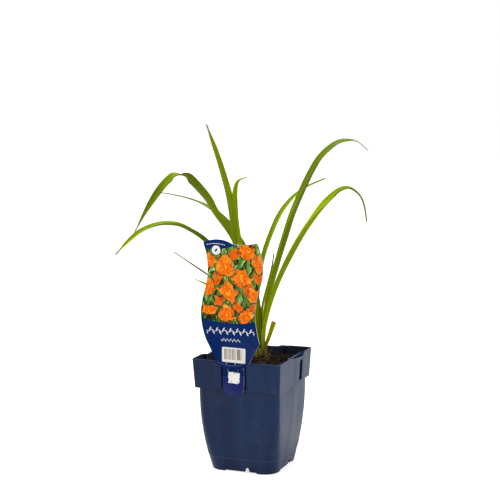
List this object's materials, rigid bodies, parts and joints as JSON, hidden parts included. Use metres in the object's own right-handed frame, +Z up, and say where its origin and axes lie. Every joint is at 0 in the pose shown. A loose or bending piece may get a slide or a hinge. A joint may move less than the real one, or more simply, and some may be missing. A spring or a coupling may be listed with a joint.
{
  "type": "potted daylily with plant label",
  "caption": "Young daylily in a square navy nursery pot of dark peat, with a wavy picture label hooked over the rim and folded strap leaves arching to both sides.",
  "frame": {"origin": "middle of the pot's base, on the surface the pot stands on", "axes": "+Z up, -Y out of the pot face that carries the label, +X to the right seen from that side"},
  "size_m": [0.2935, 0.1708, 0.4065],
  "materials": {
    "pot": "moulded, satin",
    "soil": "crumbly peat, matt",
    "crown": "fibrous, matt",
    "leaf": "fresh leaf, satin",
    "stub": "yellowed leaf, matt",
    "label": "printed card, satin",
    "sticker": "paper, matt"
  },
  "bodies": {
    "root": {"pot": "pot", "soil": "soil", "crown": "crown", "leaf_left_tall": "leaf", "leaf_left_upright": "leaf", "leaf_left_twisted": "leaf", "leaf_left_low": "leaf", "leaf_left_back": "leaf", "leaf_left_thin": "leaf", "leaf_left_short": "leaf", "leaf_right_tall": "leaf", "leaf_right_arching": "leaf", "leaf_right_back": "leaf", "leaf_right_thin": "leaf", "leaf_cut_stub": "stub", "label": "label", "label_sticker": "sticker"}
  },
  "joints": []
}
